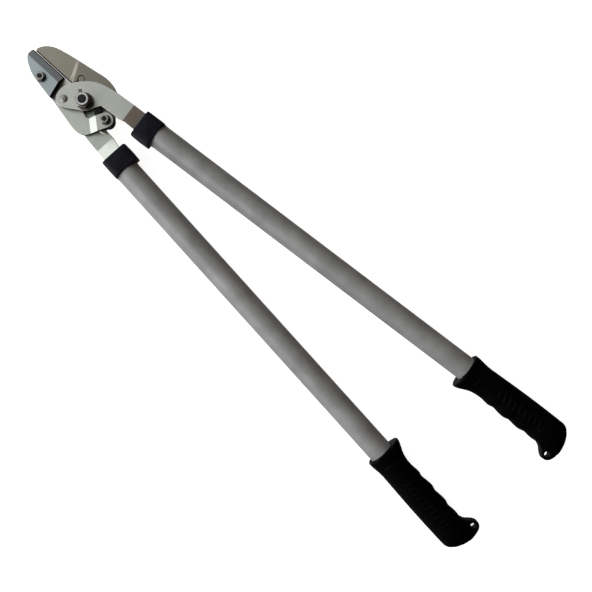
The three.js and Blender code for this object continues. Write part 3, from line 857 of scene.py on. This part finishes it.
def upper_plate_outline():
    tang = tang_corners("upper")
    shape = Outline(tang[0])
    shape.line(tang[1])
    shape.curve((43, 36.1), (20.6, 33.4), (11.1, 31.5), (-0.4, 28.2), (-10.3, 23.1), (-20.8, 13.5),
                (-27.9, 3.7), (-31.4, -4.5), (-32, -12.1), (-29.6, -19.6), (-23.6, -23.8),
                (-17.3, -23.4), (-9.8, -19.6), (-1.7, -14.3), (5.4, -9.7), (9.5, -5.5), (12.8, 1.6))
    shape.line((17.3, 9.1))
    shape.curve((29.1, 10.4), (39.7, 11.5), (48.7, 14))
    shape.line(*tang[2:])
    return shape


def build_upper_plate():
    holes = [circle(MAIN, BUSH_RADIUS + GAP), circle(LOCK_PIN, LOCK_PIN_RADIUS + SNUG, 12)]
    bm = plate_bmesh(upper_plate_outline(), holes, *UPPER_PLATE, bevel=PLATE_RIM)
    crank(bm, SPREAD, 49, CRANK_END, -5.8)
    dress(finish_mesh(bm, "upper_plate_forged"), "forged_steel", "upper_handle",
          "upper_handle_plate")


# ---------- anvil jaw ----------

JAW_RATIO = 0.42
HANDLE_OPEN = math.radians(JOINTS["handle_pivot"]["range_deg"][1])


def turn_about(centre, angle, point):
    x, y = turn((point[0] - centre[0], point[1] - centre[1]), angle)
    return (centre[0] + x, centre[1] + y)


def slot_outline(radius):
    """The slide rivet's path seen from the jaw, as wide as the rivet needs."""
    steps = 12
    path = []
    for k in range(steps + 1):
        handle = HANDLE_OPEN * k / steps
        path.append(turn_about(JAW, -handle * JAW_RATIO, turn_about(MAIN, handle, SLIDE)))
    heading = [math.atan2(b[1] - a[1], b[0] - a[0]) for a, b in zip(path, path[1:])]
    heading.append(heading[-1])
    left = []
    right = []
    for (x, y), angle in zip(path, heading):
        dx, dy = radius * math.sin(angle), radius * math.cos(angle)
        left.append((x - dx, y + dy))
        right.append((x + dx, y - dy))
    start, end = math.degrees(heading[0]), math.degrees(heading[-1])
    shape = Outline(left[0])
    shape.line(*left[1:])
    shape.arc(path[-1], radius, end + 90, end - 90, 8)
    shape.line(*reversed(right))
    shape.arc(path[0], radius, start - 90, start - 270, 8)
    return shape


def jaw_outline():
    shape = Outline((-80.5, -1.2))
    shape.line((-38.3, -1.2), (-39.4, 4.3), (-29.3, 4.3), (-22, 3.4), (-12.6, -1.2))
    shape.arc(MAIN, 10, 192, 282)
    shape.line((10.7, -12.9), (14.6, -11.6))
    shape.arc(JAW, 9, 150, -30)
    shape.line((33.7, -15.4), (28.5, -23.3))
    shape.curve((25.5, -28.5), (19.6, -32.3), (13.1, -33.9), (6.1, -33.3))
    shape.line((-33.4, -24.9), (-51.8, -20.8))
    shape.curve((-66, -17.3), (-76.5, -12.5), (-81.5, -7), (-80.5, -1.2))
    return shape


def build_jaw_plate():
    bolt_hole = M6["shaft"] + GAP
    holes = [slot_outline(SLIDE_RADIUS + SLOT_PLAY), circle(JAW, bolt_hole),
             circle(ANVIL_BOLT, bolt_hole)]
    bm = plate_bmesh(jaw_outline(), holes, *JAW_LAYER, bevel=PLATE_RIM)
    crank(bm, math.atan2(0.764, 0.648), 0.6, 9.35, JAW_ARM_RISE)
    dress(finish_mesh(bm, "jaw_plate_forged"), "forged_steel", "anvil_jaw", "anvil_jaw_plate")


def build_anvil():
    """A block whose top and bottom slope to a narrow crested land, with a pocket for the jaw
    plate."""
    shape = Outline((-90, ANVIL_FACE_Y))
    shape.line((-39.9, ANVIL_FACE_Y), (-33.9, -24.5), (-51.8, -21.6))
    shape.curve((-66, -18.5), (-76.5, -13.7), (-84.3, -8), (-88.2, -1.7))
    low, high = JAW_MID - ANVIL_HALF, JAW_MID + ANVIL_HALF
    bm = plate_bmesh(shape, [circle(ANVIL_BOLT, M6["shaft"] + GAP)], low, high, bevel=0.02)
    anvil = finish_mesh(bm, "anvil_block")
    bevel_start, land_half = -4.6, 4.5
    steep = (ANVIL_HALF - land_half) / (ANVIL_FACE_Y - bevel_start)
    beyond = ANVIL_FACE_Y + 1
    for sign in (1, -1):
        slope = [(bevel_start, JAW_MID + sign * ANVIL_HALF),
                 (beyond, JAW_MID + sign * land_half - sign * steep),
                 (beyond, JAW_MID + sign * 20), (bevel_start, JAW_MID + sign * 20)]
        cut(anvil, prism_bmesh(slope, -100, -20))
    floor, roof = JAW_LAYER[0] - 0.2, JAW_LAYER[1] + 0.2
    cut(anvil, prism_bmesh([(-60, floor), (-0.8, floor), (-0.8, roof), (-60, roof)], -83, -20))
    for sign in (1, -1):
        relief = [(ANVIL_FACE_Y - 1.5, JAW_MID + sign * 6.0), (ANVIL_FACE_Y + 0.1, JAW_MID + sign * 0.8),
                  (beyond, JAW_MID + sign * 0.8), (beyond, JAW_MID + sign * 6.0)]
        cut(anvil, prism_bmesh(relief, -100, -20))
    soften(anvil, 0.3, 3)
    dress(anvil, "anvil_steel", "anvil_jaw", "anvil")


# ---------- fasteners ----------

def bolt_bmesh(centre, size, head_top, top):
    """Hexagon head, plain shank and a threaded end with a chamfer."""
    radius, pitch = size["shaft"], size["pitch"]
    thread_length = 14.0
    depth = 0.55 * pitch
    profile = [(0, head_top - 0.6), (radius, head_top - 0.6), (radius, top - thread_length)]
    z = top - thread_length
    while z < top - 1.5 * pitch:
        profile += [(radius - depth, z + pitch * 0.45), (radius - depth, z + pitch * 0.55),
                    (radius, z + pitch)]
        z += pitch
    profile += [(radius - depth, top - 0.3), (radius - depth - 0.3, top), (0, top)]
    shaft = lathe_bmesh(profile, 48, centre)
    head = hex_bmesh(centre, size["flats"], head_top - size["head"], head_top)
    return merged(head, shaft)


def locknut_bmesh(centre, size, base):
    """A hexagon with a crimped rim round the seat of its nylon ring."""
    hex_top = base + size["nut"]
    collar = size["flats"] / 2 - 0.7
    rim = hex_top + size["rim"]
    seat = size["shaft"] + size["seat"]
    bore = size["shaft"] + GAP
    extra = [(collar + 0.25, hex_top), (collar, hex_top + 0.25), (collar, rim - 0.7),
             (collar - 0.25, rim - 0.2), (collar - 0.7, rim), (seat + 0.35, rim),
             (seat, rim - 0.25), (seat, hex_top - 0.6), (bore, hex_top - 0.6)]
    return hex_bmesh(centre, size["flats"], base, hex_top, bore=bore, extra=extra)


def insert_bmesh(centre, size, base):
    hex_top = base + size["nut"]
    outer, inner = size["shaft"] + size["seat"] - 0.1, size["shaft"] + SNUG
    profile = ring_profile(outer, inner, hex_top - 0.4, hex_top + size["rim"] + 0.05)
    return lathe_bmesh(profile, 64, centre)


def washer_bmesh(centre, size, z0):
    profile = ring_profile(size["washer"], size["shaft"] + GAP, z0, z0 + size["thick"])
    return lathe_bmesh(profile, 72, centre)


def build_fixing(prefix, centre, size, body, head_top, nut_base, washers):
    """A bolt with its lock nut and washers; washers maps node names to their lower faces."""
    top = nut_base + size["nut"] + size["rim"] + size["proud"]
    for bm, name, slot, node in (
            (bolt_bmesh(centre, size, head_top, top), "bolt_threaded", "black_steel", "bolt"),
            (locknut_bmesh(centre, size, nut_base), "locknut_crimped", "fastener_steel", "locknut"),
            (insert_bmesh(centre, size, nut_base), "nylon_ring", "nylon", "locknut_insert")):
        dress(finish_mesh(bm, f"{prefix}_{name}"), slot, body, f"{prefix}_{node}")
    for node, z0 in washers.items():
        washer = finish_mesh(washer_bmesh(centre, size, z0), f"{node}_ring")
        dress(washer, "fastener_steel", body, node)


def build_fixings():
    head_top = LOWER_PLATE[0] - GAP - M10["thick"] - 0.1
    nut_base = UPPER_PLATE[1] + GAP + M10["thick"] + GAP
    build_fixing("main", MAIN, M10, "lower_handle", head_top, nut_base,
                 {"main_washer_bottom": head_top + 0.1, "main_washer_top": UPPER_PLATE[1] + GAP})
    face = JAW_LAYER[1] + JAW_ARM_RISE + SEATED
    build_fixing("jaw", JAW, M6, "lower_handle", LOWER_PLATE[0] - SEATED, face + M6["thick"] + SEATED,
                 {"jaw_washer": face})
    face = JAW_MID + ANVIL_HALF + SEATED
    build_fixing("anvil", ANVIL_BOLT, M6_THIN, "anvil_jaw", JAW_MID - ANVIL_HALF - SEATED,
                 face + M6_THIN["thick"] + SEATED, {"anvil_washer": face})


def build_turned_pieces():
    low, top = LOWER_PLATE[0], UPPER_PLATE[1]
    pin_foot = UPPER_PLATE[0] + 1.2
    slide = [(0, 10.8), (4.6, 10.8), (5.6, 11.1), (6, 11.6), (6, 13), (SLIDE_RADIUS, 13),
             (SLIDE_RADIUS, top + 0.1), (4.75, top + 0.1), (4.6, top + 0.55), (3.6, top + 1.05),
             (2.2, top + 1.3), (0, top + 1.4)]
    washer = ring_profile(SLIDE_WASHER_RADIUS, SLIDE_RADIUS + 0.2, 13.2, 14.7)
    pin = [(0, pin_foot), (LOCK_PIN_RADIUS, pin_foot), (LOCK_PIN_RADIUS, top + 0.8),
           (1.4, top + 1.2), (0.9, top + 1.2), (0.8, top + 0.3), (0, top + 0.3)]
    drive = [(0, low), (DRIVE_PIN_RADIUS, low), (DRIVE_PIN_RADIUS, 19.2), (3.5, 19.6), (0, 19.6)]
    rivet = [(0, low), (BLADE_RIVET_RADIUS, low), (BLADE_RIVET_RADIUS, 19.7), (2.7, 20), (0, 20)]
    bush = ring_profile(BUSH_RADIUS, M10["shaft"] + GAP, LOWER_PLATE[1] + GAP, top)
    spacer = ring_profile(SPACER_RADIUS, M6["shaft"] + GAP, BOSS_TOP + 0.1,
                          JAW_LAYER[0] + JAW_ARM_RISE - 0.2)
    upper, lower, plain = "upper_handle", "lower_handle", "fastener_steel"
    for node, name, profile, segments, centre, slot, body in (
            ("slide_rivet", "slide_rivet_domed", slide, 64, SLIDE, plain, upper),
            ("slide_washer", "slide_washer_ring", washer, 64, SLIDE, plain, upper),
            ("lock_pin", "lock_pin_turned", pin, 40, LOCK_PIN, plain, upper),
            ("blade_drive_pin", "drive_pin_turned", drive, 56, DRIVE_PIN, "blade_steel", lower),
            ("blade_rivet", "blade_rivet_turned", rivet, 48, BLADE_RIVET, plain, lower),
            ("pivot_bush", "pivot_bush_turned", bush, 64, MAIN, plain, lower),
            # The jaw spacer is black steel, and its black also stands in for the shade in the stack under the
            # jaw's arm.
            ("jaw_spacer", "jaw_spacer_turned", spacer, 72, JAW, "black_steel", lower)):
        sharp_deg = 50 if node == "slide_rivet" else 32
        piece = finish_mesh(lathe_bmesh(profile, segments, centre), name, sharp_deg=sharp_deg)
        dress(piece, slot, body, node)


def build_buffer():
    # A black rubber stop; its black block also stands in for the deep shade in the gap between the hub and the
    # jaw's arm.
    corners = Outline((12.6, -1.5)).line((16.4, -4.2), (20, 5.6), (15.6, 8.6))
    buffer = plate_bmesh(corners, [], LOWER_PLATE[1] + 0.1, JAW_LAYER[1] - 1.4, bevel=0.6)
    dress(finish_mesh(buffer, "stop_buffer_moulded"), "rubber", "lower_handle", "stop_buffer")


# ---------- handles ----------

def along_bmesh(sections, closed_ends=True):
    """Joins rings of (x, y, z) points along a tube into a closed skin."""
    bm = bmesh.new()
    rows = [[bm.verts.new(point) for point in section] for section in sections]
    if closed_ends:
        bm.faces.new(rows[0])
        bm.faces.new(rows[-1])
    else:
        rows.append(rows[0])
    for low, high in zip(rows, rows[1:]):
        bridge(bm, low, high)
    return outward(bm)


ROUND_STEPS = 96


def round_section(x, radius):
    section = []
    for k in range(ROUND_STEPS):
        angle = 2 * math.pi * k / ROUND_STEPS
        section.append((x, radius * math.cos(angle), radius * math.sin(angle)))
    return section


def tube_bmesh(collar_end, end):
    """The round tube, with a rolled bead where it leaves the collar."""
    bead = collar_end + BEAD_PLACE
    trim = TUBE_CHAMFER
    profile = [(BORE_RADIUS, TUBE_START + trim), (BORE_RADIUS + trim, TUBE_START),
               (TUBE_RADIUS - trim, TUBE_START), (TUBE_RADIUS, TUBE_START + trim),
               (TUBE_RADIUS, bead - BEAD_HALF_LENGTH)]
    for k in range(7):
        angle = math.pi * k / 6
        profile.append((TUBE_RADIUS + BEAD_HEIGHT * math.sin(angle),
                        bead - BEAD_HALF_LENGTH * math.cos(angle)))
    profile += [(TUBE_RADIUS, end - trim), (TUBE_RADIUS - trim, end), (BORE_RADIUS + trim, end),
                (BORE_RADIUS, end - trim)]
    return along_bmesh([round_section(x, radius) for radius, x in profile], closed_ends=False)


def collar_section(start, along, side, shrink):
    """A square section with rounded corners, in which every side is a low diamond facet. The
    lower half tapers: its far end leans back and its sides lean in."""
    low = -COLLAR_INNER if side > 0 else -COLLAR_OUTER
    high = COLLAR_OUTER if side > 0 else COLLAR_INNER
    middle, half_width = (low + high) / 2, (high - low) / 2
    squareness, dip, lean_back, lean_in = 7.0, 1.1, 0.18, 0.13
    steps = 64
    share = 1 - abs(along / COLLAR_LENGTH * 2 - 1)
    section = []
    for k in range(steps):
        angle = 2 * math.pi * (k + 0.5) / steps
        c, s = math.cos(angle), math.sin(angle)
        radius = (abs(c) ** squareness + abs(s) ** squareness) ** (-1 / squareness)
        c, s = c * radius, s * radius
        lift_c = dip * 0.4 * (1 - min(share, 1 - abs(s))) if abs(c) > abs(s) else 0
        lift_s = dip * (1 - min(share, 1 - abs(c))) if abs(s) > abs(c) else 0
        below = max(-s, 0.0)
        y = (middle + (half_width - shrink - lift_c) * c) * (1 - lean_in * below)
        z = (COLLAR_HALF_HEIGHT - shrink - lift_s) * s
        section.append((start + along * (1 - lean_back * below), y, z))
    return section


def collar_bmesh(start, side):
    steps = 16
    ends = [(0.0, 0.9), (0.15, 0.45), (0.45, 0.15), (0.9, 0.0)]
    rows = ends + [(0.9 + (COLLAR_LENGTH - 1.8) * k / steps, 0.0) for k in range(1, steps)]
    rows += [(COLLAR_LENGTH - along, shrink) for along, shrink in reversed(ends)]
    bm = along_bmesh([collar_section(start, along, side, shrink) for along, shrink in rows])
    bmesh.ops.triangulate(bm, faces=[face for face in bm.faces if len(face.verts) > 4])
    return bm


# On a grip, u runs from its mouth and t towards the other handle.
HOLE = (138.2, 23.2)
HOLE_RADIUS = 3.5
LUG_HALF_THICKNESS = 7.4
RIB_FIRST = 47.3
RIB_PITCH = 7.4
RIB_SLANT = 0.34
RIB_COUNT = 9
MARK_LINE = 17.8
MARK_ARC = (93.8, 19.0)
TAIL = [(133.0, -18.6), (138.0, -16.4), (143.0, -10.8), (146.0, -5.2), (148.4, 1.0), (149.5, 8.0)]
LUG = [(148.2, 16.0), (146.6, 22.6), (144.0, 27.5), (139.6, 30.3), (134.9, 28.7), (130.2, 24.6),
       (126.8, 21.0), (121.0, 18.4)]


def grip_inner(u):
    """Reach of the finger side: a flared mouth, then waves that die out before the tail."""
    flare = 8.8 * math.exp(-((u / 16.2) ** 2))
    phase = (u - 46.5) / 23.2 * 2 * math.pi
    wave = 0.8 * math.cos(phase + 0.45 * (1 - math.cos(phase)))
    waving = smoothstep(u, 30, 48) * (1 - smoothstep(u, 108, 122))
    return 17.15 + 1.5 * smoothstep(u, 25, 75) + flare + wave * waving


def grip_outer(u):
    """Reach of the palm side."""
    lip = 2.1 * math.exp(-(((u - 3) / 12) ** 2))
    belly = 1.2 * math.sin(math.pi * min(max((u - 25) / 130, 0), 1))
    return 17.9 + lip + belly


def grip_height(u):
    """Half height, closing at the tail."""
    lip = 1.2 * math.exp(-(((u - 3) / 9) ** 2))
    taper = min(max((u - 118) / 31.8, 0), 1)
    return 16.3 * math.sqrt(1 - taper ** 2.5) + lip


def tail_limit(u):
    """How far the tail reaches on its outer side (a t value) at u."""
    for (u0, t0), (u1, t1) in zip(TAIL, TAIL[1:]):
        if u <= u1:
            return t0 + (t1 - t0) * (u - u0) / (u1 - u0)
    return TAIL[-1][1]


def grip_section(u, side):
    """A slightly squared oval between the grip's two reaches."""
    low = -grip_outer(u)
    high = grip_inner(u)
    if u > TAIL[0][0]:
        low = max(low, tail_limit(u))
        high = 18.2 - max(u - 145.0, 0) * 1.2
    half, middle = max((high - low) / 2, 0.4), (high + low) / 2
    height = grip_height(u)
    power = 2.25
    section = []
    for k in range(ROUND_STEPS):
        angle = 2 * math.pi * k / ROUND_STEPS
        c, s = math.cos(angle), math.sin(angle)
        radius = (abs(c) ** power + abs(s) ** power) ** (-1 / power)
        section.append((u, -side * (middle + half * radius * c), height * radius * s))
    return section


def grip_bmesh(side):
    """The grip's body with its bore, and the lug with the hanging hole as a second shell."""
    stations = [0.0, 0.3, 0.9, 1.8] + [3.0 + 1.0 * k for k in range(131)]
    stations += [133.0 + 16.0 * math.sin(math.pi / 2 * k / 22) for k in range(1, 23)]
    outer = [grip_section(u, side) for u in stations]
    lip = {0: 1.0, 1: 0.55, 2: 0.2}
    for index, shrink in lip.items():
        outer[index] = [(x, y * (1 - shrink / 20), z * (1 - shrink / 18)) for x, y, z in outer[index]]
    bore = TUBE_RADIUS + BEAD_HEIGHT
    inner = [round_section(x, bore) for x in (TUBE_DEPTH + 0.4, 60.0, 2.0)]
    inner.append(round_section(0.0, bore + 0.3))
    inner = [[(x, -side * y, z) for x, y, z in row] for row in inner]
    body = along_bmesh(inner + outer)
    lug_shape = Outline((114, -side * 8)).line((138, -side * 2), (148.2, -side * 6), (148.8, -side * 11))
    lug_shape.curve(*[(u, -side * t) for u, t in LUG])
    hole = circle((HOLE[0], -side * HOLE[1]), HOLE_RADIUS)
    lug = plate_bmesh(lug_shape, [hole], -LUG_HALF_THICKNESS, LUG_HALF_THICKNESS, bevel=1.2)
    return merged(body, lug)


def grip_relief(u, t):
    """Slanted ribs, a line near the mouth and an arc behind the ribs, in millimetres."""
    height = 0.0
    for k in range(RIB_COUNT):
        centre = RIB_FIRST + RIB_PITCH * k
        along = u - centre - RIB_SLANT * t
        if abs(t - 0.7) < 7 and abs(along) < 3:
            fade = 1 - smoothstep(abs(t - 0.7), 4.2, 6.2)
            height = max(height, 0.9 * fade * math.exp(-((along / 0.9) ** 2)))
    line = abs(u - (MARK_LINE + 0.05 * t))
    fade = 1 - smoothstep(abs(t - 1), 9.0, 11.0)
    height = max(height, 0.7 * math.exp(-((line / 0.8) ** 2)) * fade)
    arc = abs(math.hypot(u - MARK_ARC[0], t) - MARK_ARC[1])
    if u > 104:
        fade = 1 - smoothstep(abs(t), 8.5, 10.5)
        height = max(height, 0.8 * math.exp(-((arc / 0.8) ** 2)) * fade)
    return height


def build_grip(name, matrix):
    """Body and lug are fused by a fine voxel skin, which the relief is then raised on."""
    handle = HANDLES[name]
    side = handle["side"]
    start = Matrix.Translation((handle["grip_start"], 0, 0))
    raw = finish_mesh(grip_bmesh(side), "grip_raw")
    raw.modifiers.clear()
    remesh = raw.modifiers.new("skin", "REMESH")
    remesh.mode = "VOXEL"
    remesh.voxel_size = 0.7 * MM
    smooth = raw.modifiers.new("smooth", "SMOOTH")
    smooth.factor = 0.5
    smooth.iterations = 6
    baked(raw)
    bm = bmesh.new()
    bm.from_mesh(raw.data)
    bpy.data.objects.remove(raw)
    bm.transform(TO_ROW.inverted())
    bm.normal_update()
    for vert in bm.verts:
        facing = abs(vert.normal.z)
        if facing > 0.6 and abs(vert.co.z) > 8:
            lift = grip_relief(vert.co.x, -side * vert.co.y) * smoothstep(facing, 0.6, 0.85)
            vert.co.z += math.copysign(lift, vert.co.z)
    piece = finish_mesh(bm, f"{name}_grip_moulded", matrix @ start, 180)
    piece.modifiers.clear()
    dress(piece, "grip_plastic", handle["body"], f"{name}_grip")


def build_handle(name):
    handle = HANDLES[name]
    body, side = handle["body"], handle["side"]
    matrix = handle_matrix(name)
    start, end = handle["collar_start"], handle["grip_start"] + TUBE_DEPTH
    tube = tube_bmesh(start + COLLAR_LENGTH, end)
    dress(finish_mesh(tube, f"{name}_tube_drawn", matrix), "tube_finish", body, f"{name}_tube")
    collar = finish_mesh(collar_bmesh(start, side), f"{name}_collar_moulded", matrix, 14)
    dress(collar, "collar_plastic", body, f"{name}_collar")
    build_grip(name, matrix)


def dress_hidden_pieces():
    """CAD pieces that stay as they are inside the tubes get their finishes."""
    slots = {row["node"]: row["material_slot"] for row in frame["record"]["subparts"]}
    for name in ("upper", "lower"):
        for part in ("tang_plug", "cross_pin", "tube_end_plug"):
            node = frame["nodes"][f"{name}_{part}"]
            node.data.materials.clear()
            node.data.materials.append(MATERIALS[slots[node.name]])


build_blade()
build_lower_plate()
build_upper_plate()
build_jaw_plate()
build_anvil()
build_fixings()
build_turned_pieces()
build_buffer()
for handle_name in HANDLES:
    build_handle(handle_name)
dress_hidden_pieces()
